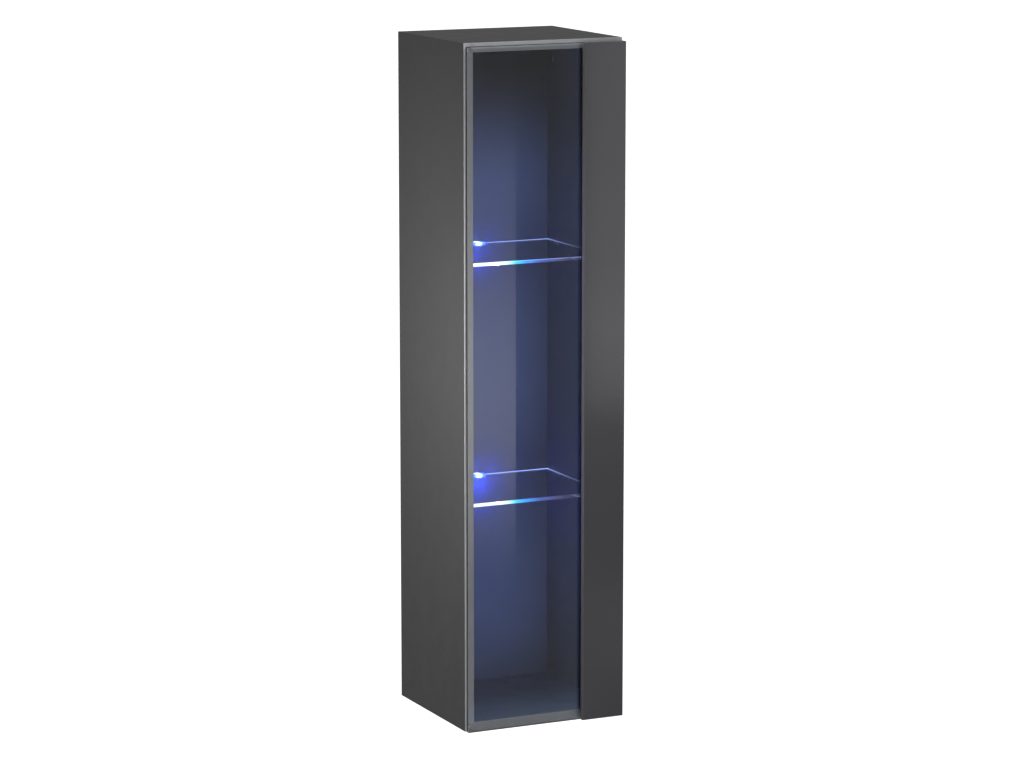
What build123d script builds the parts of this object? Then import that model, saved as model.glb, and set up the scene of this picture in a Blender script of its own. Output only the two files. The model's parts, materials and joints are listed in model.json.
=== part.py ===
from build123d import *
import os

# Wall mounted showcase: a 300 x 1200 mm board cabinet with an overlay glass door.
# Frame: +X to the viewer's right, +Y into the wall, +Z up, millimetres.
# Origin: midway between the entry holes of its two keyhole hanger plates, on the wall plane.

os.makedirs("parts", exist_ok=True)

# ---- driving dimensions ----
WIDTH = 300.0
HEIGHT = 1200.0
DEPTH = 277.0              # wall to the front of the cabinet's edge bands
BOARD = 16.0
BAND = 1.0                 # front edge band
HANG_DROP = 62.0           # top of the cabinet down to the hangers' entry holes

BACK_THICKNESS = 3.0
BACK_SETBACK = 11.0        # wall to the rear face of the back panel
GROOVE_DEPTH = 6.5
GROOVE_PLAY = 0.1

SHELF_HEIGHTS = {"lower": 399.0, "upper": 820.0}   # shelf tops above the cabinet's underside
SHELF_THICKNESS = 6.0
SHELF_SETBACK = 25.0       # cabinet front to the shelf's front edge
SHELF_REAR = 20.0          # wall to the shelf's rear edge
SHELF_SIDE_GAP = 1.0

GLASS_THICKNESS = 5.0
GLASS_GAP = 5.0            # cabinet front to the rear face of the glass
GLASS_INSET = 1.0
DOOR_TOP_INSET = 5.5
ACCENT_WIDTH = 79.0
ACCENT_THICKNESS = 16.0
ACCENT_GAP = 3.5
ACCENT_INSET = 2.0
GLASS_OVERLAP = 18.0       # how far the glass reaches into the accent panel's rebate
RETAINER_THICKNESS = 1.5
RETAINER_WIDTH = 34.0
REBATE_PLAY = 1.0

HINGE_HEIGHTS = {"bottom": 100.0, "middle": 597.0, "top": 1094.5}
HINGE_AXIS_IN = 7.5        # door's right edge to the pivot
HINGE_AXIS_FRONT = 12.8    # cabinet front to the pivot
CUP_RADIUS = 17.5
CUP_DEPTH = 12.7
CUP_EDGE = 3.0             # door's right edge to the cup bore

BORE_PLAY = 0.05           # radial play of a dowel, bolt, pin or screw in its bore
BORE_EXTRA = 0.5           # how much deeper than its filling a blind bore is
CUT_PAST = 1.0             # how far a cutting block runs past the face that it opens

# ---- places worked out from them ----
top_z = HANG_DROP
bottom_z = HANG_DROP - HEIGHT
ceiling_z = top_z - BOARD
floor_z = bottom_z + BOARD
half = WIDTH / 2
inner = half - BOARD
front_y = -DEPTH
board_front_y = front_y + BAND
back_front_y = -BACK_SETBACK - BACK_THICKNESS
shelf_front_y = front_y + SHELF_SETBACK
shelf_half = inner - SHELF_SIDE_GAP
door_top_z = top_z - DOOR_TOP_INSET
glass_rear_y = front_y - GLASS_GAP
glass_front_y = glass_rear_y - GLASS_THICKNESS
accent_rear_y = front_y - ACCENT_GAP
accent_front_y = accent_rear_y - ACCENT_THICKNESS
accent_right_x = half - ACCENT_INSET
accent_left_x = accent_right_x - ACCENT_WIDTH
pivot_x = accent_right_x - HINGE_AXIS_IN
pivot_y = front_y - HINGE_AXIS_FRONT
cup_x = accent_right_x - CUP_EDGE - CUP_RADIUS
SIDES = {"left": -1, "right": 1}

LEFT, RIGHT = (-1, 0, 0), (1, 0, 0)
FRONT, REAR = (0, -1, 0), (0, 1, 0)
DOWN, UP = (0, 0, -1), (0, 0, 1)


# ---- building blocks, used inside a part ----
def block(xs, ys, zs, mode=Mode.ADD):
    """A rectangular block between two limits on each axis."""
    x0, x1 = sorted(xs)
    y0, y1 = sorted(ys)
    z0, z1 = sorted(zs)
    with BuildSketch(Plane.XY.offset(z0)) as profile:
        with Locations(((x0 + x1) / 2, (y0 + y1) / 2)):
            Rectangle(x1 - x0, y1 - y0)
    extrude(profile.sketch, amount=z1 - z0, mode=mode)


def rod(start, direction, radius, length, mode=Mode.ADD):
    """A round rod, or a bore when mode is SUBTRACT, from its start along a direction."""
    with BuildSketch(Plane(origin=start, z_dir=direction)) as profile:
        Circle(radius)
    extrude(profile.sketch, amount=length, mode=mode)


def wood_screw(seat, direction, head_radius, head_height, shank_radius, length):
    """A pan head screw: the head stands on its seat, the shank runs along the direction."""
    seat_plane = Plane(origin=seat, z_dir=direction)
    with BuildSketch(seat_plane) as head:
        Circle(head_radius)
    extrude(head.sketch, amount=-head_height, taper=12)
    with BuildSketch(seat_plane) as shank:
        Circle(shank_radius)
    extrude(shank.sketch, amount=length - shank_radius)
    with BuildSketch(seat_plane.offset(length - shank_radius)) as tip:
        Circle(shank_radius)
    extrude(tip.sketch, amount=shank_radius, taper=40)
    with BuildSketch(seat_plane.offset(-head_height)) as recess:
        Rectangle(head_radius * 1.1, head_radius * 0.24)
        Rectangle(head_radius * 0.24, head_radius * 1.1)
    extrude(recess.sketch, amount=head_height * 0.6, mode=Mode.SUBTRACT)


def pilot_bore(seat, direction, shank_radius, length):
    """The bore a screw's shank sits in, a hair larger than the shank."""
    rod(seat, direction, shank_radius + BORE_PLAY, length + BORE_EXTRA, mode=Mode.SUBTRACT)


def finish_part(builder, name):
    """Labels a finished piece and writes it under its own name."""
    builder.part.label = name
    export_step(builder.part, f"parts/{name}.step")


# ---- fastener patterns shared by the pieces that they join ----
CAM_YS = (-230.0, -50.0)
DOWEL_YS = (-198.0, -82.0)
CAM_RADIUS, CAM_HEIGHT, CAM_PLAY = 7.5, 12.5, 0.2
CAM_INSET = 24.0
BOLT_RADIUS, BOLT_HEAD_RADIUS, BOLT_HEAD_LENGTH = 3.0, 3.3, 3.0
THREAD_RADIUS, THREAD_LENGTH = 2.5, 11.0
CAM_MOUTH_HALF, CAM_MOUTH_REACH, CAM_MOUTH_BACK = 3.6, 9.0, 3.0
CAM_CROSS_HALF, CAM_CROSS_WIDTH, CAM_CROSS_DEPTH = 4.0, 1.2, 1.8
DOWEL_RADIUS, DOWEL_IN_SIDE, DOWEL_IN_PANEL = 4.0, 10.0, 20.0
joint_zs = (top_z - BOARD / 2, bottom_z + BOARD / 2)

LINK_HOLE_Y, LINK_HOLE_Z = -33.5, top_z - 57.0
LINK_HOLE_RADIUS, LINK_HOLE_DEPTH = 2.6, 12.0
LINK_CAP_RADIUS, LINK_PLUG_LENGTH = 4.5, 5.0

SUPPORT_YS = (-217.0, -60.0)
SUPPORT_WIDTH, SUPPORT_REACH, SUPPORT_HEIGHT = 10.0, 9.0, 6.0
SUPPORT_PIN_RADIUS, SUPPORT_PIN_LENGTH = 2.5, 8.0
PAD_RADIUS, PAD_THICKNESS = 3.5, 1.0

PLATE_WIDTH, PLATE_THICKNESS, PLATE_PLAY = 13.0, 2.0, 0.1
PLATE_TOP, PLATE_BOTTOM = 30.0, -20.0
HANGER_SCREW_ZS = (24.0, -14.0)
HANGER_ENTRY_RADIUS, HANGER_NECK_RADIUS, HANGER_NECK_Z = 4.75, 2.3, 12.0
HEAD_ROOM_HALF, HEAD_ROOM_DEPTH = 5.0, 9.0
HEAD_ROOM_BELOW, HEAD_ROOM_ABOVE = 6.0, 5.0
HANGER_SCREW = dict(shank_radius=1.6, length=18.0)

HINGE_PLATE_YS = (-252.0, -220.0)
HINGE_PLATE_SCREW_Y, HINGE_PLATE_SCREW_Z = -236.0, 16.0
WING_THICKNESS = 2.0
HINGE_PLATE_SCREW = dict(shank_radius=1.75, length=13.0)
CUP_SCREW_X, CUP_SCREW_Z = cup_x - 9.5, 24.0
CUP_SCREW = dict(shank_radius=1.75, length=10.0)
RETAINER_SCREW_X = accent_left_x + 27.0
RETAINER_SCREW_COUNT = 7
RETAINER_SCREW = dict(shank_radius=1.4, length=9.0)

retainer_bottom, retainer_top = bottom_z + 12.0, door_top_z - 12.0
retainer_screw_zs = [
    retainer_bottom + 25.0 + i * (retainer_top - retainer_bottom - 50.0) / (RETAINER_SCREW_COUNT - 1)
    for i in range(RETAINER_SCREW_COUNT)
]
hinge_zs = {name: bottom_z + height for name, height in HINGE_HEIGHTS.items()}
shelf_tops = {name: bottom_z + height for name, height in SHELF_HEIGHTS.items()}


# ---- cabinet boards ----
def keyhole_pocket(x):
    """Mortise for a hanger plate and, behind it, room for the wall screw's head."""
    half_width = PLATE_WIDTH / 2 + PLATE_PLAY
    block((x - half_width, x + half_width), (-PLATE_THICKNESS, CUT_PAST),
          (PLATE_BOTTOM - PLATE_PLAY, PLATE_TOP + PLATE_PLAY), mode=Mode.SUBTRACT)
    block((x - HEAD_ROOM_HALF, x + HEAD_ROOM_HALF), (-HEAD_ROOM_DEPTH, CUT_PAST),
          (-HEAD_ROOM_BELOW, HANGER_NECK_Z + HEAD_ROOM_ABOVE), mode=Mode.SUBTRACT)
    for z in HANGER_SCREW_ZS:
        pilot_bore((x, -PLATE_THICKNESS, z), FRONT, **HANGER_SCREW)


for side, s in SIDES.items():
    with BuildPart() as side_panel:
        block((s * inner, s * half), (board_front_y, 0), (bottom_z, top_z))
        block((s * (inner - CUT_PAST), s * (inner + GROOVE_DEPTH)),
              (-BACK_SETBACK + GROOVE_PLAY, back_front_y - GROOVE_PLAY),
              (floor_z - GROOVE_DEPTH, ceiling_z + GROOVE_DEPTH), mode=Mode.SUBTRACT)
        for joint_z in joint_zs:
            for cam_y in CAM_YS:
                rod((s * inner, cam_y, joint_z), (s, 0, 0), THREAD_RADIUS + BORE_PLAY,
                    THREAD_LENGTH + BORE_EXTRA, mode=Mode.SUBTRACT)
            for dowel_y in DOWEL_YS:
                rod((s * inner, dowel_y, joint_z), (s, 0, 0), DOWEL_RADIUS + BORE_PLAY,
                    DOWEL_IN_SIDE + BORE_EXTRA, mode=Mode.SUBTRACT)
        for shelf_top in shelf_tops.values():
            pin_z = shelf_top - SHELF_THICKNESS - PAD_THICKNESS - SUPPORT_HEIGHT / 2
            for support_y in SUPPORT_YS:
                rod((s * inner, support_y, pin_z), (s, 0, 0), SUPPORT_PIN_RADIUS + BORE_PLAY,
                    SUPPORT_PIN_LENGTH + BORE_EXTRA, mode=Mode.SUBTRACT)
        rod((s * inner, LINK_HOLE_Y, LINK_HOLE_Z), (s, 0, 0), LINK_HOLE_RADIUS,
            LINK_HOLE_DEPTH, mode=Mode.SUBTRACT)
        keyhole_pocket(s * (inner + BOARD / 2))
        if side == "right":
            for hinge_z in hinge_zs.values():
                for dz in (-HINGE_PLATE_SCREW_Z, HINGE_PLATE_SCREW_Z):
                    pilot_bore((inner, HINGE_PLATE_SCREW_Y, hinge_z + dz), RIGHT,
                               HINGE_PLATE_SCREW["shank_radius"],
                               HINGE_PLATE_SCREW["length"] - WING_THICKNESS)
    finish_part(side_panel, f"{side}_side_panel")


def cam_joint_bores(joint_z, cam_face_z, into_board):
    """Bores for the cams, their bolts and the dowels at both ends of a cross board."""
    for s in SIDES.values():
        for cam_y in CAM_YS:
            rod((s * (inner - CAM_INSET), cam_y, cam_face_z), into_board, CAM_RADIUS,
                CAM_HEIGHT, mode=Mode.SUBTRACT)
            rod((s * inner, cam_y, joint_z), (-s, 0, 0), BOLT_HEAD_RADIUS + 0.3, CAM_INSET,
                mode=Mode.SUBTRACT)
        for dowel_y in DOWEL_YS:
            rod((s * inner, dowel_y, joint_z), (-s, 0, 0), DOWEL_RADIUS + BORE_PLAY,
                DOWEL_IN_PANEL + BORE_EXTRA, mode=Mode.SUBTRACT)


with BuildPart() as top_panel:
    block((-inner, inner), (board_front_y, 0), (ceiling_z, top_z))
    block((-inner, inner), (-BACK_SETBACK + GROOVE_PLAY, back_front_y - GROOVE_PLAY),
          (ceiling_z - CUT_PAST, ceiling_z + GROOVE_DEPTH), mode=Mode.SUBTRACT)
    cam_joint_bores(joint_zs[0], ceiling_z, UP)
finish_part(top_panel, "top_panel")

with BuildPart() as bottom_panel:
    block((-inner, inner), (board_front_y, 0), (bottom_z, floor_z))
    block((-inner, inner), (-BACK_SETBACK + GROOVE_PLAY, back_front_y - GROOVE_PLAY),
          (floor_z - GROOVE_DEPTH, floor_z + CUT_PAST), mode=Mode.SUBTRACT)
    cam_joint_bores(joint_zs[1], bottom_z, UP)
finish_part(bottom_panel, "bottom_panel")

GROMMET_X, GROMMET_Z, GROMMET_RADIUS = -90.0, floor_z + 40.0, 12.0
LIGHT_X, LEAD_HOLE_RADIUS = -10.0, 3.0
BACK_PLAY = 0.5            # room at the groove's bottom all round the back panel
back_half = inner + GROOVE_DEPTH - BACK_PLAY

with BuildPart() as back_panel:
    block((-back_half, back_half), (back_front_y, -BACK_SETBACK),
          (floor_z - GROOVE_DEPTH + BACK_PLAY, ceiling_z + GROOVE_DEPTH - BACK_PLAY))
    rod((GROMMET_X, 0, GROMMET_Z), FRONT, GROMMET_RADIUS, -back_front_y + CUT_PAST, mode=Mode.SUBTRACT)
    for shelf_top in shelf_tops.values():
        rod((LIGHT_X, 0, shelf_top - SHELF_THICKNESS / 2), FRONT, LEAD_HOLE_RADIUS,
            -back_front_y + CUT_PAST, mode=Mode.SUBTRACT)
finish_part(back_panel, "back_panel")


# ---- edge bands on the cabinet's front, with eased outer edges ----
def edge_band(name, xs, zs):
    """A thin band on the front edge of one board."""
    with BuildPart() as band:
        block(xs, (front_y, board_front_y), zs)
        chamfer(band.faces().sort_by(Axis.Y)[0].edges(), 0.3)
    finish_part(band, name)


edge_band("front_edge_band_left", (-half, -inner), (bottom_z, top_z))
edge_band("front_edge_band_right", (inner, half), (bottom_z, top_z))
edge_band("front_edge_band_top", (-inner, inner), (ceiling_z, top_z))
edge_band("front_edge_band_bottom", (-inner, inner), (bottom_z, floor_z))

# ---- knock-down fittings ----
cam_places = [
    (s, cam_y, joint_z, face_z)
    for s in SIDES.values()
    for cam_y in CAM_YS
    for joint_z, face_z in ((joint_zs[0], ceiling_z), (joint_zs[1], bottom_z))
]

with BuildPart() as cam_locks:
    for s, cam_y, joint_z, face_z in cam_places:
        cam_x = s * (inner - CAM_INSET)
        rod((cam_x, cam_y, face_z + CAM_PLAY), UP, CAM_RADIUS - CAM_PLAY / 2, CAM_HEIGHT - 2 * CAM_PLAY)
        block((cam_x - s * CAM_MOUTH_BACK, cam_x + s * CAM_MOUTH_REACH),
              (cam_y - CAM_MOUTH_HALF, cam_y + CAM_MOUTH_HALF),
              (joint_z - CAM_MOUTH_HALF, joint_z + CAM_MOUTH_HALF), mode=Mode.SUBTRACT)
        for half_x, half_y in ((CAM_CROSS_HALF, CAM_CROSS_WIDTH / 2), (CAM_CROSS_WIDTH / 2, CAM_CROSS_HALF)):
            block((cam_x - half_x, cam_x + half_x), (cam_y - half_y, cam_y + half_y),
                  (face_z, face_z + CAM_CROSS_DEPTH), mode=Mode.SUBTRACT)
finish_part(cam_locks, "cam_locks")

with BuildPart() as cam_bolts:
    for s, cam_y, joint_z, face_z in cam_places:
        rod((s * (inner + THREAD_LENGTH), cam_y, joint_z), (-s, 0, 0), THREAD_RADIUS, THREAD_LENGTH)
        rod((s * inner, cam_y, joint_z), (-s, 0, 0), BOLT_RADIUS, CAM_INSET - 2)
        rod((s * (inner - CAM_INSET + 4), cam_y, joint_z), (-s, 0, 0), BOLT_HEAD_RADIUS, BOLT_HEAD_LENGTH)
finish_part(cam_bolts, "cam_bolts")

with BuildPart() as dowels:
    for s in SIDES.values():
        for joint_z in joint_zs:
            for dowel_y in DOWEL_YS:
                rod((s * (inner + DOWEL_IN_SIDE), dowel_y, joint_z), (-s, 0, 0),
                    DOWEL_RADIUS, DOWEL_IN_SIDE + DOWEL_IN_PANEL)
finish_part(dowels, "dowels")

CAP_RADIUS, CAP_THICKNESS = 8.5, 0.9
with BuildPart() as cam_cover_caps:
    for s in SIDES.values():
        for cam_y in CAM_YS:
            rod((s * (inner - CAM_INSET), cam_y, ceiling_z), DOWN, CAP_RADIUS, CAP_THICKNESS)
    chamfer(cam_cover_caps.faces().group_by(Axis.Z)[0].edges(), 0.4)
finish_part(cam_cover_caps, "cam_cover_caps")

with BuildPart() as link_hole_caps:
    for s in SIDES.values():
        rod((s * inner, LINK_HOLE_Y, LINK_HOLE_Z), (-s, 0, 0), LINK_CAP_RADIUS, CAP_THICKNESS)
        rod((s * inner, LINK_HOLE_Y, LINK_HOLE_Z), (s, 0, 0), LINK_HOLE_RADIUS - BORE_PLAY, LINK_PLUG_LENGTH)
finish_part(link_hole_caps, "link_hole_caps")

# ---- wall hangers: keyhole plates let into the rear edges of the side boards ----
for side, s in SIDES.items():
    plate_x = s * (inner + BOARD / 2)
    with BuildPart() as hanger_plate:
        with BuildSketch(Plane.XZ):
            with Locations((plate_x, (PLATE_TOP + PLATE_BOTTOM) / 2)):
                RectangleRounded(PLATE_WIDTH, PLATE_TOP - PLATE_BOTTOM, 2.5)
            with Locations((plate_x, 0)):
                Circle(HANGER_ENTRY_RADIUS, mode=Mode.SUBTRACT)
            with Locations((plate_x, HANGER_NECK_Z / 2)):
                Rectangle(2 * HANGER_NECK_RADIUS, HANGER_NECK_Z, mode=Mode.SUBTRACT)
            with Locations((plate_x, HANGER_NECK_Z)):
                Circle(HANGER_NECK_RADIUS, mode=Mode.SUBTRACT)
            with Locations(*[(plate_x, z) for z in HANGER_SCREW_ZS]):
                Circle(HANGER_SCREW["shank_radius"] + 0.2, mode=Mode.SUBTRACT)
        extrude(amount=PLATE_THICKNESS)
        for z in HANGER_SCREW_ZS:
            with BuildSketch(Plane(origin=(plate_x, 0, z), z_dir=FRONT)):
                Circle(3.3)
            extrude(amount=1.5, taper=45, mode=Mode.SUBTRACT)
    finish_part(hanger_plate, f"hanger_plate_{side}")

with BuildPart() as hanger_screws:
    for s in SIDES.values():
        for z in HANGER_SCREW_ZS:
            seat = (s * (inner + BOARD / 2), -0.1, z)
            with BuildSketch(Plane(origin=seat, z_dir=FRONT)):
                Circle(3.1)
            extrude(amount=1.4, taper=45)
            rod((seat[0], -1.0, z), FRONT, HANGER_SCREW["shank_radius"], HANGER_SCREW["length"])
            with BuildSketch(Plane(origin=seat, z_dir=FRONT)):
                Rectangle(2.6, 0.6)
                Rectangle(0.6, 2.6)
            extrude(amount=0.7, mode=Mode.SUBTRACT)
finish_part(hanger_screws, "hanger_screws")

# ---- cable grommet in the back panel ----
GROMMET_RIM, LEAD_BORE_RADIUS = 1.2, 8.5
with BuildPart() as cable_grommet:
    rod((GROMMET_X, back_front_y - GROMMET_RIM, GROMMET_Z), REAR, GROMMET_RADIUS + 2.5, GROMMET_RIM)
    rod((GROMMET_X, back_front_y, GROMMET_Z), REAR, GROMMET_RADIUS - 0.1, BACK_THICKNESS + 2)
    rod((GROMMET_X, back_front_y - 2 * GROMMET_RIM, GROMMET_Z), REAR, LEAD_BORE_RADIUS,
        BACK_SETBACK + BACK_THICKNESS, mode=Mode.SUBTRACT)
    chamfer(cable_grommet.faces().sort_by(Axis.Y)[0].edges(), 0.5)
finish_part(cable_grommet, "cable_grommet")

# ---- glass shelves, their supports and the edge lights ----
LIGHT_HALF, LIGHT_LIP, LIGHT_WALL, LIGHT_JAW = 14.0, 12.0, 5.0, 2.2
LENS_HALF, LENS_DEPTH, LENS_HEIGHT = 11.0, 2.4, 4.0
SUPPORT_LIP, SUPPORT_WEB, SUPPORT_BOSS = 2.0, 3.2, 1.2
light_xs = (LIGHT_X - LIGHT_HALF, LIGHT_X + LIGHT_HALF)
lens_xs = (LIGHT_X - LENS_HALF, LIGHT_X + LENS_HALF)

for level, shelf_top in shelf_tops.items():
    shelf_bottom = shelf_top - SHELF_THICKNESS
    shelf_mid = shelf_top - SHELF_THICKNESS / 2

    with BuildPart() as glass_shelf:
        block((-shelf_half, shelf_half), (shelf_front_y, -SHELF_REAR), (shelf_bottom, shelf_top))
        fillet(glass_shelf.edges().filter_by(Axis.Z), 2)
        chamfer(glass_shelf.faces().sort_by(Axis.Y)[0].edges().filter_by(Axis.X), 0.6)
    finish_part(glass_shelf, f"glass_shelf_{level}")

    with BuildPart() as shelf_supports:
        for s in SIDES.values():
            for support_y in SUPPORT_YS:
                support_top = shelf_bottom - PAD_THICKNESS
                body_mid = support_top - SUPPORT_HEIGHT / 2
                block((s * inner, s * (inner - SUPPORT_REACH)),
                      (support_y - SUPPORT_WIDTH / 2, support_y + SUPPORT_WIDTH / 2),
                      (support_top - SUPPORT_LIP, support_top))
                with BuildSketch(Plane.XZ.offset(-support_y)):
                    with BuildLine():
                        Polyline((s * inner, support_top - SUPPORT_LIP),
                                 (s * (inner - SUPPORT_REACH), support_top - SUPPORT_LIP),
                                 (s * inner, support_top - SUPPORT_HEIGHT), close=True)
                    make_face()
                extrude(amount=SUPPORT_WEB / 2, both=True)
                rod((s * inner, support_y, body_mid), (s, 0, 0), SUPPORT_PIN_RADIUS, SUPPORT_PIN_LENGTH)
                rod((s * inner, support_y, body_mid), (-s, 0, 0), SUPPORT_PIN_RADIUS, SUPPORT_BOSS)
    finish_part(shelf_supports, f"shelf_supports_{level}")

    with BuildPart() as shelf_pads:
        for s in SIDES.values():
            for support_y in SUPPORT_YS:
                rod((s * (inner - SUPPORT_REACH / 2 - 0.3), support_y, shelf_bottom), DOWN,
                    PAD_RADIUS, PAD_THICKNESS)
    finish_part(shelf_pads, f"shelf_pads_{level}")

    with BuildPart() as led_clip:
        block(light_xs, (-SHELF_REAR - LIGHT_LIP, -SHELF_REAR + LIGHT_WALL),
              (shelf_bottom - LIGHT_JAW, shelf_top + LIGHT_JAW))
        fillet(led_clip.edges().filter_by(Axis.Z), 3)
        block(light_xs, (-SHELF_REAR - LIGHT_LIP, -SHELF_REAR), (shelf_bottom, shelf_top), mode=Mode.SUBTRACT)
        block(lens_xs, (-SHELF_REAR, -SHELF_REAR + LENS_DEPTH),
              (shelf_mid - LENS_HEIGHT / 2, shelf_mid + LENS_HEIGHT / 2), mode=Mode.SUBTRACT)
    finish_part(led_clip, f"led_clip_{level}")

    with BuildPart() as led_lens:
        block(lens_xs, (-SHELF_REAR, -SHELF_REAR + LENS_DEPTH),
              (shelf_mid - LENS_HEIGHT / 2, shelf_mid + LENS_HEIGHT / 2))
    finish_part(led_lens, f"led_lens_{level}")

# ---- hinges: single pivot, cup in the door, gooseneck arm on a plate in the cabinet ----
SPINE_THICKNESS, SPINE_HALF = 3.0, 7.0
WING_HEIGHT, WING_CORNER = 48.0, 8.0
NECK_REACH, NECK_THICKNESS = 13.4, 3.0
NECK_HALF, ARM_RISE = 1.3, 1.5
ARM_HALF, EYE_RADIUS = 6.0, 2.2
PIN_RADIUS, PIN_HALF = 1.2, 8.6
CUP_WALL = 0.9
FLANGE_THICKNESS = 1.2
FLANGE_WIDTH, FLANGE_HEIGHT, FLANGE_CORNER = 16.0, 58.0, 5.0
EAR_LEFT, EAR_RIGHT, EAR_REAR = 3.2, 1.8, 2.6      # how far a pin's ear reaches round the pivot
EAR_INNER, EAR_OUTER = 0.6, 8.8                    # arm to ear, and hinge centre to the ear's far face
arm_front_y = pivot_y - NECK_HALF
neck_right_x = pivot_x - NECK_REACH + NECK_THICKNESS / 2
neck_left_x = neck_right_x - NECK_THICKNESS
spine_x = inner - SPINE_THICKNESS
cup_bottom_y = accent_rear_y - CUP_DEPTH
cavity_bottom_y = cup_bottom_y + CUP_WALL
arm_left_x = neck_left_x - ARM_RISE
arm_body_ys = (front_y + 15.0, front_y + 65.0)
arm_rear_y = front_y + 69.0
spine_ys = (front_y + 7.0, front_y + 71.0)
ADJUST_SCREW_YS = (front_y + 21.0, front_y + 59.0)
ADJUST_SCREW = dict(shank_radius=2.0, length=8.5)

for level, hinge_z in hinge_zs.items():
    arm_zs = (hinge_z - ARM_HALF, hinge_z + ARM_HALF)

    with BuildPart() as hinge_plate:
        with BuildSketch(Plane.YZ.offset(inner)):
            with Locations((sum(HINGE_PLATE_YS) / 2, hinge_z)):
                RectangleRounded(HINGE_PLATE_YS[1] - HINGE_PLATE_YS[0], WING_HEIGHT, WING_CORNER)
            with Locations(*[(HINGE_PLATE_SCREW_Y, hinge_z + dz)
                             for dz in (-HINGE_PLATE_SCREW_Z, HINGE_PLATE_SCREW_Z)]):
                Circle(HINGE_PLATE_SCREW["shank_radius"] + 0.2, mode=Mode.SUBTRACT)
        extrude(amount=-WING_THICKNESS)
        block((spine_x, inner), spine_ys, (hinge_z - SPINE_HALF, hinge_z + SPINE_HALF))
        for screw_y in ADJUST_SCREW_YS:
            rod((spine_x, screw_y, hinge_z), RIGHT, ADJUST_SCREW["shank_radius"] + BORE_PLAY, 2.2,
                mode=Mode.SUBTRACT)
    finish_part(hinge_plate, f"hinge_plate_{level}")

    with BuildPart() as hinge_arm:
        with BuildSketch(Plane.XY.offset(arm_zs[0])):
            with BuildLine():
                Polyline((pivot_x, arm_front_y), (neck_left_x + 2, arm_front_y),
                         (neck_left_x, arm_front_y + 2), (neck_left_x, arm_body_ys[0] - 2),
                         (arm_left_x, arm_body_ys[0]), (arm_left_x, arm_body_ys[1]),
                         (neck_left_x + 1, arm_rear_y), (spine_x, arm_rear_y), (spine_x, spine_ys[0]),
                         (neck_right_x, spine_ys[0] - 3), (neck_right_x, pivot_y + NECK_HALF + 0.5),
                         (neck_right_x + 0.5, pivot_y + NECK_HALF), (pivot_x, pivot_y + NECK_HALF),
                         close=True)
            make_face()
            with Locations((pivot_x, pivot_y)):
                Circle(EYE_RADIUS)
                Circle(PIN_RADIUS + 0.06, mode=Mode.SUBTRACT)
        extrude(amount=2 * ARM_HALF)
        for screw_y in ADJUST_SCREW_YS:
            rod((spine_x, screw_y, hinge_z), LEFT, ADJUST_SCREW["shank_radius"] + 0.1, 12, mode=Mode.SUBTRACT)
    finish_part(hinge_arm, f"hinge_arm_{level}")

    with BuildPart() as hinge_pin:
        rod((pivot_x, pivot_y, hinge_z - PIN_HALF), UP, PIN_RADIUS, 2 * PIN_HALF)
    finish_part(hinge_pin, f"hinge_pin_{level}")

    with BuildPart() as hinge_cup:
        rod((cup_x, accent_rear_y, hinge_z), FRONT, CUP_RADIUS, CUP_DEPTH)
        with BuildSketch(Plane(origin=(0, accent_rear_y, hinge_z), x_dir=RIGHT, z_dir=FRONT)):
            with Locations((cup_x, 0)):
                Circle(CUP_RADIUS + 1)
            with Locations((CUP_SCREW_X + 1, 0)):
                RectangleRounded(FLANGE_WIDTH, FLANGE_HEIGHT, FLANGE_CORNER)
            with Locations(*[(CUP_SCREW_X, dz) for dz in (-CUP_SCREW_Z, CUP_SCREW_Z)]):
                Circle(CUP_SCREW["shank_radius"] + 0.2, mode=Mode.SUBTRACT)
        extrude(amount=-FLANGE_THICKNESS)
        rod((cup_x, accent_rear_y + FLANGE_THICKNESS, hinge_z), FRONT, CUP_RADIUS - CUP_WALL,
            CUP_DEPTH + FLANGE_THICKNESS - CUP_WALL, mode=Mode.SUBTRACT)
        for dz in (-1, 1):
            block((pivot_x - EAR_LEFT, pivot_x + EAR_RIGHT), (cavity_bottom_y, pivot_y + EAR_REAR),
                  (hinge_z + dz * (ARM_HALF + EAR_INNER), hinge_z + dz * EAR_OUTER))
        rod((pivot_x, pivot_y, hinge_z - PIN_HALF - 0.1), UP, PIN_RADIUS + 0.02, 2 * PIN_HALF + 0.2,
            mode=Mode.SUBTRACT)
    finish_part(hinge_cup, f"hinge_cup_{level}")

with BuildPart() as hinge_plate_screws:
    for hinge_z in hinge_zs.values():
        for dz in (-HINGE_PLATE_SCREW_Z, HINGE_PLATE_SCREW_Z):
            wood_screw((inner - WING_THICKNESS, HINGE_PLATE_SCREW_Y, hinge_z + dz), RIGHT, 3.5, 1.6,
                       **HINGE_PLATE_SCREW)
finish_part(hinge_plate_screws, "hinge_plate_screws")

with BuildPart() as hinge_adjust_screws:
    for hinge_z in hinge_zs.values():
        for screw_y in ADJUST_SCREW_YS:
            wood_screw((arm_left_x, screw_y, hinge_z), RIGHT, 3.4, 1.5, **ADJUST_SCREW)
finish_part(hinge_adjust_screws, "hinge_adjust_screws")

with BuildPart() as hinge_cup_screws:
    for hinge_z in hinge_zs.values():
        for dz in (-CUP_SCREW_Z, CUP_SCREW_Z):
            wood_screw((CUP_SCREW_X, accent_rear_y + FLANGE_THICKNESS, hinge_z + dz), FRONT, 3.2, 1.2,
                       **CUP_SCREW)
finish_part(hinge_cup_screws, "hinge_cup_screws")

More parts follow.
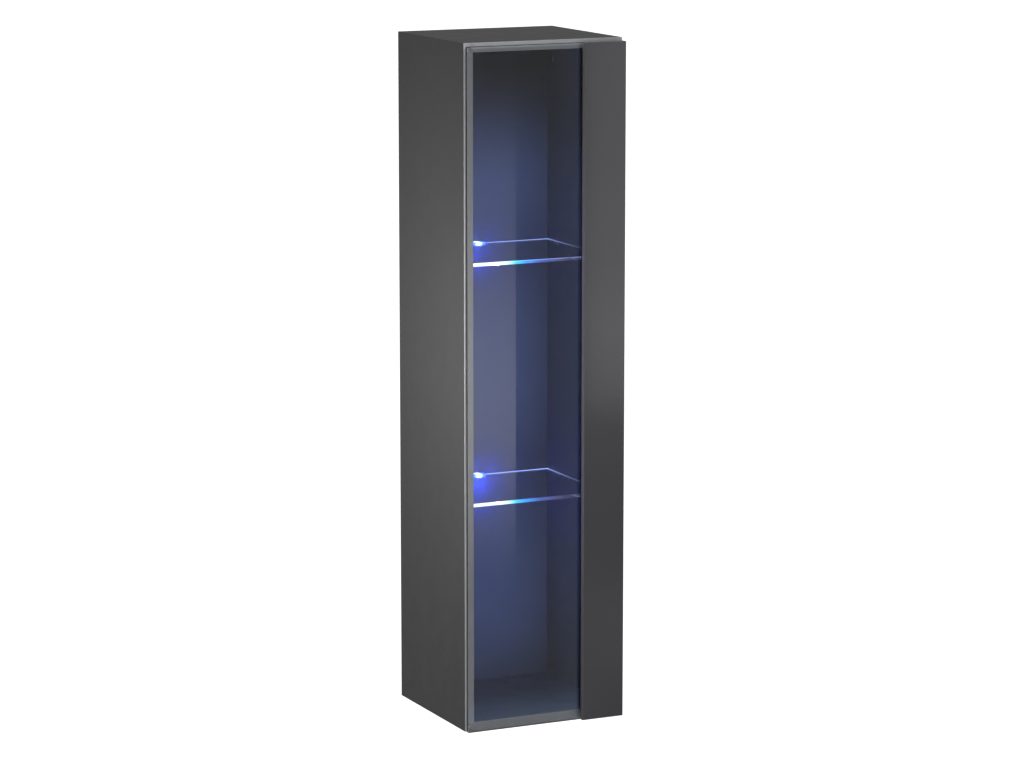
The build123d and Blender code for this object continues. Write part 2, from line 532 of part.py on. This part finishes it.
# ---- door: clear pane, gloss accent panel and the bar that clamps the pane ----
with BuildPart() as door_glass:
    block((-half + GLASS_INSET, accent_left_x + GLASS_OVERLAP), (glass_front_y, glass_rear_y),
          (bottom_z, door_top_z))
    left_corners = door_glass.faces().sort_by(Axis.X)[0].edges().filter_by(Axis.Y)
    fillet(left_corners, 1.5)
    chamfer(door_glass.faces().sort_by(Axis.Y)[0].edges(), 0.5)
finish_part(door_glass, "door_glass")

with BuildPart() as accent_panel:
    block((accent_left_x, accent_right_x), (accent_front_y, accent_rear_y), (bottom_z, door_top_z))
    fillet(accent_panel.faces().sort_by(Axis.Y)[0].edges(), 1.0)
    full_height = (bottom_z - CUT_PAST, door_top_z + CUT_PAST)
    block((accent_left_x - CUT_PAST, accent_left_x + GLASS_OVERLAP + REBATE_PLAY),
          (glass_front_y, accent_rear_y + CUT_PAST), full_height, mode=Mode.SUBTRACT)
    block((accent_left_x - CUT_PAST, accent_left_x + RETAINER_WIDTH + REBATE_PLAY),
          (accent_rear_y - RETAINER_THICKNESS, accent_rear_y + CUT_PAST), full_height, mode=Mode.SUBTRACT)
    for screw_z in retainer_screw_zs:
        pilot_bore((RETAINER_SCREW_X, accent_rear_y, screw_z), FRONT, **RETAINER_SCREW)
    for hinge_z in hinge_zs.values():
        rod((cup_x, accent_rear_y, hinge_z), FRONT, CUP_RADIUS + 0.1, CUP_DEPTH + 0.1, mode=Mode.SUBTRACT)
        for dz in (-CUP_SCREW_Z, CUP_SCREW_Z):
            pilot_bore((CUP_SCREW_X, accent_rear_y, hinge_z + dz), FRONT,
                       CUP_SCREW["shank_radius"], CUP_SCREW["length"] - FLANGE_THICKNESS)
finish_part(accent_panel, "accent_panel")

with BuildPart() as glass_retainer_bar:
    block((accent_left_x + 0.5, accent_left_x + RETAINER_WIDTH),
          (accent_rear_y - RETAINER_THICKNESS, accent_rear_y), (retainer_bottom, retainer_top))
    fillet(glass_retainer_bar.edges().filter_by(Axis.Y), 1.5)
    for screw_z in retainer_screw_zs:
        rod((RETAINER_SCREW_X, accent_rear_y + 1, screw_z), FRONT,
            RETAINER_SCREW["shank_radius"] + 0.2, 5, mode=Mode.SUBTRACT)
finish_part(glass_retainer_bar, "glass_retainer_bar")

with BuildPart() as retainer_screws:
    for screw_z in retainer_screw_zs:
        wood_screw((RETAINER_SCREW_X, accent_rear_y, screw_z), FRONT, 2.8, 1.2, **RETAINER_SCREW)
finish_part(retainer_screws, "retainer_screws")

# ---- soft stops between the cabinet's front and the door ----
BUMPER_RADIUS, BUMPER_PLAY = 3.5, 0.3
bumper_gaps = {-half + BOARD / 2: GLASS_GAP, accent_left_x + 42.0: ACCENT_GAP}

with BuildPart() as door_bumpers:
    for bumper_x, gap in bumper_gaps.items():
        for bumper_z in (bottom_z + BOARD / 2, ceiling_z + BUMPER_RADIUS + 1):
            rod((bumper_x, front_y, bumper_z), FRONT, BUMPER_RADIUS, gap - BUMPER_PLAY)
    chamfer(door_bumpers.faces().filter_by(Axis.Y).group_by(Axis.Y)[0].edges(), 0.8)
finish_part(door_bumpers, "door_bumpers")
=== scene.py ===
import json
import math

import bpy
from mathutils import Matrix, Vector


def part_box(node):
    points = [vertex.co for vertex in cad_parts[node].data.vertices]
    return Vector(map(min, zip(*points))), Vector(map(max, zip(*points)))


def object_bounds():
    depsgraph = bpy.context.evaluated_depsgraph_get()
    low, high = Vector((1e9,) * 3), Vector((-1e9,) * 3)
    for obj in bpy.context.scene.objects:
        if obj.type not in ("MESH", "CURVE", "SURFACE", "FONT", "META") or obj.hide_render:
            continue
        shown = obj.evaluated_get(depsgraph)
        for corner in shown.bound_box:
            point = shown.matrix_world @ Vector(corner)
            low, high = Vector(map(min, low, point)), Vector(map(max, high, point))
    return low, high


# Wall mounted showcase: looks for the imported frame. Metres, +X right, +Y into the wall, +Z up.

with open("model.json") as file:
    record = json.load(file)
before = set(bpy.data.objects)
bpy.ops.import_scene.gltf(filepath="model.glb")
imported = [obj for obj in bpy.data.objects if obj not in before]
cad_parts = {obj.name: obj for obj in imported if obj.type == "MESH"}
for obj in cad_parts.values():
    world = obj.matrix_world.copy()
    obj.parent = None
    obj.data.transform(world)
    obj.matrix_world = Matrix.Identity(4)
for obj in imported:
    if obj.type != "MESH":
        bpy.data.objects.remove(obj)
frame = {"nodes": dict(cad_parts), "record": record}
cad_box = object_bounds()
low, high = cad_box
CENTRE = (low + high) / 2

NODES = frame["nodes"]
SLOT_OF = {part["node"]: part["material_slot"] for part in frame["record"]["subparts"]}
MM = 0.001


# ---- node helpers ----
class Nodes:
    """Short ways to add nodes to a tree and wire them."""

    def __init__(self, tree):
        self.tree = tree

    def plug(self, value, socket):
        """Links an output, or sets a plain value."""
        if hasattr(value, "is_output"):
            self.tree.links.new(value, socket)
        else:
            socket.default_value = value

    def node(self, kind, inputs=None, **settings):
        """Adds a node with its properties and its inputs, by name or by number."""
        made = self.tree.nodes.new(kind)
        for key, value in settings.items():
            setattr(made, key, value)
        for key, value in (inputs or {}).items():
            self.plug(value, made.inputs[key])
        return made

    def math(self, operation, a, b=0.0):
        """One arithmetic step."""
        return self.node("ShaderNodeMath", {0: a, 1: b}, operation=operation).outputs[0]

    def remap(self, value, start, end, low_out=0.0, high_out=1.0):
        """Value from start to end becomes low_out to high_out, eased at both ends."""
        made = self.node("ShaderNodeMapRange", {
            "Value": value, "From Min": start, "From Max": end, "To Min": low_out, "To Max": high_out,
        }, interpolation_type="SMOOTHSTEP")
        return made.outputs["Result"]

    def ramp(self, value, *stops):
        """A colour ramp from (position, colour) stops."""
        made = self.node("ShaderNodeValToRGB", {"Fac": value})
        steps = made.color_ramp.elements
        while len(steps) < len(stops):
            steps.new(1.0)
        for step, (position, colour) in zip(steps, stops):
            step.position = position
            step.color = (*colour, 1.0)
        return made.outputs["Color"]

    def blend(self, amount, a, b):
        """Colour a where amount is 0, b where it is 1."""
        a = (*a, 1.0) if isinstance(a, tuple) else a
        b = (*b, 1.0) if isinstance(b, tuple) else b
        return self.node("ShaderNodeMix", {0: amount, 6: a, 7: b}, data_type="RGBA").outputs[2]

    def split(self, vector):
        """The X, Y and Z of a vector."""
        return self.node("ShaderNodeSeparateXYZ", {"Vector": vector}).outputs

    def noise(self, vector, scale, detail=3.0):
        """Soft noise from 0 to 1; scale is in cells per metre."""
        made = self.node("ShaderNodeTexNoise", {"Vector": vector, "Scale": scale, "Detail": detail})
        return made.outputs["Fac"]

    def stretched(self, vector, x, y, z):
        """A vector scaled along each axis, for grain that runs one way."""
        return self.node("ShaderNodeMapping", {"Vector": vector, "Scale": (x, y, z)}).outputs[0]


class Material(Nodes):
    """A node material around one Principled shader."""

    def __init__(self, name, **values):
        self.material = bpy.data.materials.new(name)
        self.material.use_nodes = True
        super().__init__(self.material.node_tree)
        self.shader = self.tree.nodes["Principled BSDF"]
        self.output = self.tree.nodes["Material Output"]
        for key, value in values.items():
            title = key.replace("_", " ").title().replace("Ior", "IOR")
            self.shader.inputs[title].default_value = (*value, 1.0) if isinstance(value, tuple) else value
        coordinates = self.node("ShaderNodeTexCoord")
        self.place = coordinates.outputs["Object"]
        self.normal = coordinates.outputs["Normal"]

    def link(self, source, socket):
        """Wires an output into the Principled shader."""
        self.tree.links.new(source, self.shader.inputs[socket])

    def mottle(self, colour, spread, scale):
        """A base colour that varies softly over the surface."""
        dark = tuple(c * (1 - spread) for c in colour)
        light = tuple(c * (1 + spread) for c in colour)
        return self.ramp(self.noise(self.place, scale, 4.0), (0.3, dark), (0.7, light))

    def rough(self, low_value, high_value, scale):
        """Roughness that varies with faint rubbed and dull patches."""
        self.link(self.remap(self.noise(self.place, scale), 0.3, 0.7, low_value, high_value), "Roughness")

    def bump(self, height, strength, depth):
        """Relief from a height value, up to depth metres."""
        made = self.node("ShaderNodeBump", {"Strength": strength, "Distance": depth, "Height": height})
        self.link(made.outputs["Normal"], "Normal")

    def facing(self, axis, sign):
        """1 on faces that look along one axis, 0 elsewhere."""
        toward = self.math("MULTIPLY", self.split(self.normal)[axis], sign)
        return self.remap(toward, 0.8, 0.95)

    def near(self, axis, value, reach):
        """1 within reach of a plane across one axis, fading to 0 at twice the reach."""
        gap = self.math("ABSOLUTE", self.math("SUBTRACT", self.split(self.place)[axis], value))
        return self.remap(gap, reach, 2 * reach, 1.0, 0.0)

    def either(self, *amounts):
        """The largest of several amounts."""
        largest = amounts[0]
        for amount in amounts[1:]:
            largest = self.math("MAXIMUM", largest, amount)
        return largest

    def lets_lamps_through(self, tint):
        """Clear glass that lamps shine through, as a thin pane does."""
        clear = self.node("ShaderNodeBsdfTransparent", {"Color": (*tint, 1.0)})
        shadow = self.node("ShaderNodeLightPath").outputs["Is Shadow Ray"]
        mixed = self.node("ShaderNodeMixShader", {0: shadow, 1: self.shader.outputs[0], 2: clear.outputs[0]})
        self.tree.links.new(mixed.outputs[0], self.output.inputs["Surface"])


# ---- boards and panels ----
GRAPHITE = (0.045, 0.045, 0.0455)
CHIP_DARK, CHIP_LIGHT = (0.16, 0.10, 0.055), (0.42, 0.31, 0.19)
FIBRE_DARK, FIBRE_LIGHT = (0.13, 0.075, 0.04), (0.24, 0.15, 0.085)
BACK_FOIL = (0.060, 0.060, 0.062)
BAND_GREY, BAND_LINE = (0.325, 0.325, 0.332), (0.25, 0.25, 0.255)
# Painted light: the paler greys of the band's outer left and top strips.
BAND_LEFT_PAINTED_LIGHT, BAND_TOP_PAINTED_LIGHT = (0.44, 0.44, 0.45), (0.66, 0.66, 0.68)
LACQUER, REAR_FOIL = (0.081, 0.078, 0.083), (0.16, 0.16, 0.165)


def cabinet_board():
    """Graphite melamine, with the raw chipboard core showing on the rear edges."""
    m = Material("cabinet_board", specular_ior_level=0.35)
    face = m.mottle(GRAPHITE, 0.03, 3.0)
    flakes = m.noise(m.stretched(m.place, 1.0, 1.0, 0.35), 420.0, 5.0)
    chips = m.ramp(flakes, (0.3, CHIP_DARK), (0.7, CHIP_LIGHT))
    raw = m.math("MULTIPLY", m.facing(1, 1.0), m.near(1, 0.0, 0.5 * MM))
    m.link(m.blend(raw, face, chips), "Base Color")
    m.rough(0.42, 0.48, 25.0)
    return m


def back_board():
    """Thin fibreboard, graphite foil in front and brown behind."""
    m = Material("back_board", specular_ior_level=0.3)
    fibres = m.ramp(m.noise(m.place, 260.0, 5.0), (0.3, FIBRE_DARK), (0.7, FIBRE_LIGHT))
    m.link(m.blend(m.facing(1, 1.0), m.mottle(BACK_FOIL, 0.03, 4.0), fibres), "Base Color")
    m.rough(0.48, 0.6, 30.0)
    return m


def edge_band():
    """Silver grey band with fine lines drawn along it, with painted light: paler along the cabinet's outer
    left and top edges, where the light falls on them.
    """
    m = Material("edge_band", specular_ior_level=0.5, metallic=0.15)
    lines = m.noise(m.stretched(m.place, 1.0, 1.0, 0.02), 1100.0, 2.0)
    grey = m.blend(m.remap(lines, 0.35, 0.65, 0.0, 0.25), m.mottle(BAND_GREY, 0.03, 18.0), BAND_LINE)
    # Painted light: the band is coloured paler near the cabinet's left side and top, for the light falling
    # there.
    grey = m.blend(m.near(0, low.x, 1.2 * MM), grey, BAND_LEFT_PAINTED_LIGHT)
    m.link(m.blend(m.near(2, high.z, 6 * MM), grey, BAND_TOP_PAINTED_LIGHT), "Base Color")
    m.rough(0.32, 0.42, 60.0)
    m.bump(lines, 0.08, 0.04 * MM)
    return m


def gloss_lacquer():
    """Deep gloss lacquer over fibreboard, with a faint ripple; matt foil on the rear face."""
    m = Material("gloss_lacquer", specular_ior_level=0.5)
    rear = m.facing(1, 1.0)
    m.link(m.blend(rear, m.mottle(LACQUER, 0.05, 4.0), m.mottle(REAR_FOIL, 0.04, 30.0)), "Base Color")
    m.link(m.remap(rear, 0.0, 1.0, 0.05, 0.5), "Roughness")
    m.bump(m.noise(m.place, 35.0, 1.0), 0.03, 0.4 * MM)
    return m


# ---- glass and lights ----
CLEAR = (0.93, 0.95, 0.97)
# The dark tint of the pane's ground edges, with painted shade along them.
GROUND_EDGE_AND_SHADE = (0.05, 0.06, 0.065)
DOOR_LOW, DOOR_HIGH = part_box("door_glass")


def door_glass():
    """Clear toughened pane, tinted dark along its top and bottom edges: partly the look into its ground
    edges, partly painted shade along them.
    """
    m = Material("door_glass", roughness=0.0, ior=1.5, transmission_weight=1.0)
    # Painted shade, in part: a dark tint in a thin strip along the pane's top and bottom.
    rim = m.either(m.near(2, DOOR_HIGH.z, 0.8 * MM), m.near(2, DOOR_LOW.z, 1.3 * MM))
    m.link(m.blend(rim, CLEAR, GROUND_EDGE_AND_SHADE), "Base Color")
    m.lets_lamps_through(CLEAR)
    return m


# The shelf's front edge from its left end (0) to its right end (1).
EDGE_GLOW = (
    (0.0, (1.0, 1.0, 1.0)), (0.27, (0.80, 0.97, 1.0)), (0.34, (0.05, 0.62, 0.95)), (0.42, (0.04, 0.27, 0.85)),
    (0.52, (0.05, 0.09, 0.35)), (0.66, (0.04, 0.04, 0.11)), (0.84, (0.02, 0.02, 0.035)),
)
REAR_GLOW = (0.30, 0.42, 1.0)
FRONT_POWER, REAR_POWER, SIDE_POWER = 1.4, 1.5, 0.6
GLOW_LINE = 2.5 * MM                   # width of the lit line along a shelf's rear and side edges


def shelf_glass():
    """Clear shelf whose edges carry the light of the clip at its rear, fading to the right."""
    shelf_low, shelf_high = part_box("glass_shelf_upper")
    m = Material("shelf_glass", roughness=0.0, ior=1.5, transmission_weight=1.0, base_color=CLEAR)
    x, y, _ = m.split(m.place)
    across = m.node("ShaderNodeMapRange", {"Value": x, "From Min": shelf_low.x, "From Max": shelf_high.x})
    glow = m.ramp(across.outputs["Result"], *EDGE_GLOW)
    front = m.near(1, shelf_low.y, 0.5 * MM)
    top_face = m.facing(2, 1.0)
    rear = m.math("MULTIPLY", m.near(1, shelf_high.y, GLOW_LINE), top_face)
    side = m.math("MULTIPLY", m.near(0, shelf_high.x, GLOW_LINE), top_face)
    side = m.math("MULTIPLY", side, m.remap(y, shelf_low.y + 0.06, shelf_high.y + 0.02))
    m.link(m.blend(front, REAR_GLOW, glow), "Emission Color")
    powers = ((front, FRONT_POWER), (rear, REAR_POWER), (side, SIDE_POWER))
    m.link(m.either(*(m.math("MULTIPLY", part, power) for part, power in powers)), "Emission Strength")
    m.lets_lamps_through(CLEAR)
    return m


CLIP_HALF = 14 * MM


def clip_plastic():
    """Clear clip, filled with the lamp's light: white at its middle, deep blue at its ends."""
    m = Material("clip_plastic", roughness=0.22, base_color=(0.6, 0.75, 0.95))
    lens_low, lens_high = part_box("led_lens_upper")
    middle = (lens_low.x + lens_high.x) / 2
    reach = m.math("ABSOLUTE", m.math("SUBTRACT", m.split(m.place)[0], middle))
    m.link(m.ramp(m.remap(reach, 0.0, CLIP_HALF), (0.15, (0.80, 0.97, 1.0)), (0.40, (0.10, 0.35, 1.0)),
                  (0.65, (0.01, 0.03, 0.25)), (1.0, (0.004, 0.01, 0.10))), "Emission Color")
    m.shader.inputs["Emission Strength"].default_value = 2.0
    m.bump(m.noise(m.place, 700.0, 2.0), 0.1, 0.1 * MM)
    return m


def led_lens():
    """Frosted lens over three diodes, the middle one brightest."""
    m = Material("led_lens", roughness=0.4, base_color=(0.85, 0.93, 1.0))
    lens_low, lens_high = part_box("led_lens_upper")
    length = lens_high.x - lens_low.x
    along = m.math("SUBTRACT", m.split(m.place)[0], (lens_low.x + lens_high.x) / 2)
    spots = m.math("ABSOLUTE", m.math("COSINE", m.math("MULTIPLY", along, 3 * math.pi / length)))
    m.link(m.ramp(spots, (0.0, (0.35, 0.6, 1.0)), (1.0, (0.95, 1.0, 1.0))), "Emission Color")
    m.link(m.remap(m.math("ABSOLUTE", along), length / 8, length / 3, 9.0, 0.8), "Emission Strength")
    return m


# ---- metal, timber and plastic ----
def plated(name, colour, low_rough, high_rough):
    """Plated steel with faint drawing lines and duller patches."""
    m = Material(name, metallic=1.0)
    m.link(m.mottle(colour, 0.07, 90.0), "Base Color")
    m.rough(low_rough, high_rough, 200.0)
    m.bump(m.noise(m.stretched(m.place, 1.0, 0.08, 1.0), 1400.0, 2.0), 0.12, 0.05 * MM)
    return m


def hardware_steel():
    return plated("hardware_steel", (0.62, 0.60, 0.57), 0.22, 0.36)


def screw_steel():
    return plated("screw_steel", (0.58, 0.58, 0.60), 0.28, 0.42)


def zinc():
    return plated("zinc", (0.52, 0.52, 0.54), 0.4, 0.55)


def aluminium_bar():
    """Aluminium, anodised dark grey."""
    return plated("aluminium_bar", (0.10, 0.10, 0.105), 0.38, 0.5)


def beech():
    """Beech with grain along the dowels."""
    m = Material("beech", roughness=0.6)
    grain = m.noise(m.stretched(m.place, 0.12, 1.0, 1.0), 900.0, 5.0)
    m.link(m.ramp(grain, (0.3, (0.46, 0.31, 0.18)), (0.7, (0.66, 0.49, 0.31))), "Base Color")
    m.bump(grain, 0.2, 0.05 * MM)
    return m


def moulded(name, colour, low_rough, high_rough):
    """Moulded plastic or rubber with a fine spark-eroded grain."""
    m = Material(name)
    m.link(m.mottle(colour, 0.10, 120.0), "Base Color")
    m.rough(low_rough, high_rough, 150.0)
    m.bump(m.noise(m.place, 1600.0, 2.0), 0.2, 0.05 * MM)
    return m


def cap_plastic():
    return moulded("cap_plastic", (0.014, 0.014, 0.015), 0.45, 0.6)


def black_plastic():
    return moulded("black_plastic", (0.018, 0.018, 0.019), 0.38, 0.5)


def clear_pad():
    """Soft silicone, half clear."""
    m = Material("clear_pad", roughness=0.3, ior=1.35, transmission_weight=0.4)
    m.link(m.mottle((0.42, 0.42, 0.43), 0.04, 200.0), "Base Color")
    m.bump(m.noise(m.place, 500.0, 1.0), 0.05, 0.05 * MM)
    return m


MAKERS = (cabinet_board, back_board, edge_band, gloss_lacquer, door_glass, shelf_glass, clip_plastic,
          led_lens, hardware_steel, screw_steel, zinc, aluminium_bar, beech, cap_plastic, black_plastic,
          clear_pad)
MATERIALS = {make.__name__: make().material for make in MAKERS}

for name, node in NODES.items():
    node.data.materials.clear()
    node.data.materials.append(MATERIALS[SLOT_OF[name]])


# ---- stage and light ----
FLOOR_DROP = 0.6
FLOOR_SIZE = 60.0
FLOOR_GLOW = 0.6                       # lifts the floor to white where the camera sees it
WHITE = (1.0, 1.0, 1.0)


def plain_floor():
    """A pale floor well below the hung cabinet; glossy faces don't mirror it."""
    bpy.ops.mesh.primitive_plane_add(size=FLOOR_SIZE, location=(0.0, 0.0, low.z - FLOOR_DROP))
    floor = bpy.context.object
    floor.name = "floor"
    floor.visible_glossy = False
    m = Material("floor", roughness=0.9, specular_ior_level=0.1, emission_color=WHITE)
    seen = m.node("ShaderNodeLightPath").outputs["Is Camera Ray"]
    m.link(m.math("MULTIPLY", seen, FLOOR_GLOW), "Emission Strength")
    m.link(m.mottle((0.92, 0.92, 0.92), 0.01, 0.5), "Base Color")
    floor.data.materials.append(m.material)


# What the upright glossy faces mirror. A direction is given by its Z and by its bearing, the angle from
# straight ahead of the cabinet towards its right, in radians.
LOW_Z, HIGH_Z = -0.26, -0.08
STRIP_ROOM = ((-0.252, 0.03), (-0.247, 0.25), (-0.230, 0.25), (-0.219, 0.02), (-0.208, 0.03),
              (-0.183, 0.22), (-0.177, 1.10), (-0.160, 1.55), (-0.145, 1.20), (-0.086, 0.92))
GLASS_EDGE = math.radians(26.45)       # bearing mirrored at the glass's right edge
WINDOW_EDGE = math.radians(25.42)      # bearing mirrored at the soft window's right edge
CRISP = 0.0003                         # half width of a crisp edge
FLOOR_BEARING, FLOOR_Z = math.radians(24.75), -0.2627  # mirrored at the inner floor's front left corner
FLOOR_SLOPE = 0.117                    # rise in Z per radian along the inner floor's front edge
FOOT_REACH = 0.008
ROOM_DARK, WINDOW = (0.045, 0.045, 0.045), (1.6, 1.6, 1.6)
HAZE, HAZE_AMOUNT = (0.6, 0.9, 1.6), 0.24
FOOT_HAZE, FOOT_AMOUNT = (0.55, 0.95, 1.6), 0.75
DOWNWARD, SIDEWAYS = (0.42, 0.42, 0.42), (0.20, 0.20, 0.205)
HORIZON = (0.07, 0.07, 0.073)
ZENITH = (0.5, 0.5, 0.5)


def glass_reflection(n, bearing, z):
    """What the glass mirrors: a tall soft window, haze by the gloss panel and haze over the inner floor."""
    across = n.math("MULTIPLY", n.remap(bearing, math.radians(17), math.radians(19)),
                    n.remap(bearing, WINDOW_EDGE - CRISP, WINDOW_EDGE + CRISP, 1.0, 0.0))
    tall = n.math("MULTIPLY", n.remap(z, -0.228, -0.188), n.remap(z, -0.188, -0.085, 1.0, 0.0))
    mirrored = n.blend(n.math("MULTIPLY", across, tall), ROOM_DARK, WINDOW)
    haze = n.math("MULTIPLY", n.remap(bearing, math.radians(25.8), GLASS_EDGE), HAZE_AMOUNT)
    mirrored = n.blend(haze, mirrored, HAZE)
    aside = n.math("SUBTRACT", bearing, FLOOR_BEARING)
    slant = n.math("SUBTRACT", z, n.math("MULTIPLY", aside, FLOOR_SLOPE))
    foot = n.math("MULTIPLY", n.remap(slant, FLOOR_Z, FLOOR_Z + FOOT_REACH, FOOT_AMOUNT, 0.0),
                  n.remap(slant, FLOOR_Z - 0.0004, FLOOR_Z))
    foot = n.math("MULTIPLY", foot, n.remap(bearing, math.radians(20), math.radians(23)))
    return n.blend(foot, mirrored, FOOT_HAZE)


def strip_reflection(n, z):
    """What the gloss panel mirrors: bands of brightness by height."""
    height = n.node("ShaderNodeMapRange", {"Value": z, "From Min": LOW_Z, "From Max": HIGH_Z})
    stops = (((at - LOW_Z) / (HIGH_Z - LOW_Z), (level, level, 1.05 * level)) for at, level in STRIP_ROOM)
    return n.ramp(height.outputs["Result"], *stops)


def studio_world():
    """A pale room: white overhead, dim around, with what the door mirrors ahead and to the right."""
    world = bpy.data.worlds.new("studio")
    world.use_nodes = True
    n = Nodes(world.node_tree)
    background = world.node_tree.nodes["Background"]
    x, y, z = n.split(n.node("ShaderNodeTexCoord").outputs["Generated"])
    bearing = n.math("ARCTAN2", x, n.math("MULTIPLY", y, -1.0))
    beyond_glass = n.remap(bearing, GLASS_EDGE - CRISP, GLASS_EDGE + CRISP)
    mirrored = n.blend(beyond_glass, glass_reflection(n, bearing, z), strip_reflection(n, z))
    ahead = n.math("MULTIPLY", n.remap(bearing, math.radians(17), math.radians(20)),
                   n.remap(bearing, math.radians(32), math.radians(35), 1.0, 0.0))
    elsewhere = n.ramp(n.remap(z, -0.6, 0.0), (0.0, DOWNWARD), (1.0, SIDEWAYS))
    below = n.blend(ahead, elsewhere, mirrored)
    around = n.blend(n.remap(z, -0.05, 0.02), below, HORIZON)
    overhead = n.blend(n.remap(z, 0.75, 0.90), WHITE, ZENITH)
    room = n.blend(n.remap(z, 0.25, 0.65), around, overhead)
    seen = n.node("ShaderNodeLightPath").outputs["Is Camera Ray"]
    n.plug(n.blend(seen, room, WHITE), background.inputs["Color"])
    background.inputs["Strength"].default_value = 1.0
    bpy.context.scene.world = world


def hide(made, *kinds):
    """Keeps a lamp's own shape out of these kinds of rays."""
    for kind in kinds:
        setattr(made, f"visible_{kind}", False)


def lamp(name, kind, place, power, colour=WHITE, **settings):
    """A lamp that lights the object and is not itself in the picture; power is in watts."""
    data = bpy.data.lights.new(name, kind)
    data.energy = power
    data.color = colour
    for key, value in settings.items():
        setattr(data, key, value)
    made = bpy.data.objects.new(name, data)
    made.location = place
    bpy.context.scene.collection.objects.link(made)
    hide(made, "camera")
    return made


def softbox(name, place, aim, width, height, power, colour=WHITE):
    """A rectangular lamp turned to face a point."""
    made = lamp(name, "AREA", place, power, colour, shape="RECTANGLE", size=width, size_y=height)
    made.rotation_mode = "QUATERNION"
    made.rotation_quaternion = (Vector(aim) - Vector(place)).to_track_quat("-Z", "Y")
    return made


BLUE = (0.015, 0.06, 1.0)
PALE_BLUE = (0.20, 0.34, 1.0)
CLIP_STRENGTHS = {"lower": 1.15, "upper": 0.55}
BELOW_POWER, BELOW_GAP = 0.80, 16 * MM
ABOVE_POWER, ABOVE_GAP = 0.10, 10 * MM


def clip_glows():
    """Each clip's own blue glow on the back panel, mostly below it."""
    for level, strength in CLIP_STRENGTHS.items():
        clip_low, clip_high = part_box(f"led_clip_{level}")
        x, y = (clip_low.x + clip_high.x) / 2 + 5 * MM, clip_low.y - 7 * MM
        for side, power, z in (("below", BELOW_POWER, clip_low.z - BELOW_GAP),
                               ("above", ABOVE_POWER, clip_high.z + ABOVE_GAP)):
            glow = lamp(f"glow_{side}_{level}", "POINT", (x, y, z), power * strength, BLUE,
                        shadow_soft_size=6 * MM)
            hide(glow, "glossy", "transmission")


SPREAD_ANGLE = math.radians(80)


def compartment_spreads():
    """The paler light that the glass spreads over the back panel in each compartment."""
    floor_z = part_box("bottom_panel")[1].z
    ceiling_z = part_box("top_panel")[0].z
    lower_low, lower_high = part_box("glass_shelf_lower")
    upper_low, upper_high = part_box("glass_shelf_upper")
    for name, bottom, top, reach, power in (("bottom", floor_z, lower_low.z, 1.0, 0.43),
                                            ("middle", lower_high.z, upper_low.z, 1.0, 0.56),
                                            ("top", upper_high.z, ceiling_z, 0.52, 0.33)):
        height = top - bottom
        middle = bottom + reach / 2 * height
        spread = softbox(f"spread_{name}", (0.03, lower_low.y + 15 * MM, middle), (0.01, 0.0, middle),
                         0.20, 0.8 * reach * height, power, PALE_BLUE)
        spread.data.spread = SPREAD_ANGLE
        hide(spread, "glossy", "transmission")


CAMERA_AZIMUTH, CAMERA_ELEVATION = math.radians(-25.36), math.radians(10.02)
CAMERA_DISTANCE = 6.536
CAMERA_LENS = 130.3
AIM_OFFSET = Vector((-0.0005, -0.003, -0.0153))        # from the box's centre to the aimed point


def photo_camera():
    """Seen from the left and a little above, from well away."""
    back = Vector((math.sin(CAMERA_AZIMUTH) * math.cos(CAMERA_ELEVATION),
                   -math.cos(CAMERA_AZIMUTH) * math.cos(CAMERA_ELEVATION), math.sin(CAMERA_ELEVATION)))
    data = bpy.data.cameras.new("photo_camera")
    data.lens, data.sensor_width = CAMERA_LENS, 36.0
    camera = bpy.data.objects.new("photo_camera", data)
    camera.location = CENTRE + AIM_OFFSET + back * CAMERA_DISTANCE
    camera.rotation_mode = "QUATERNION"
    camera.rotation_quaternion = (-back).to_track_quat("-Z", "Y")
    bpy.context.scene.collection.objects.link(camera)
    bpy.context.scene.camera = camera


def studio_lamps():
    """A small softbox close to the left side and a large one far in front."""
    beside = -0.46
    left = softbox("left_softbox", (-0.65, -0.35, beside), (low.x, CENTRE.y, beside), 0.25, 0.25, 5.5)
    front = softbox("front_softbox", (-1.2, -4.0, 1.4), CENTRE, 1.6, 1.2, 6.5)
    for made in (left, front):
        hide(made, "glossy", "transmission")


plain_floor()
studio_world()
studio_lamps()
clip_glows()
compartment_spreads()
photo_camera()
bpy.context.scene.view_settings.view_transform = "Standard"
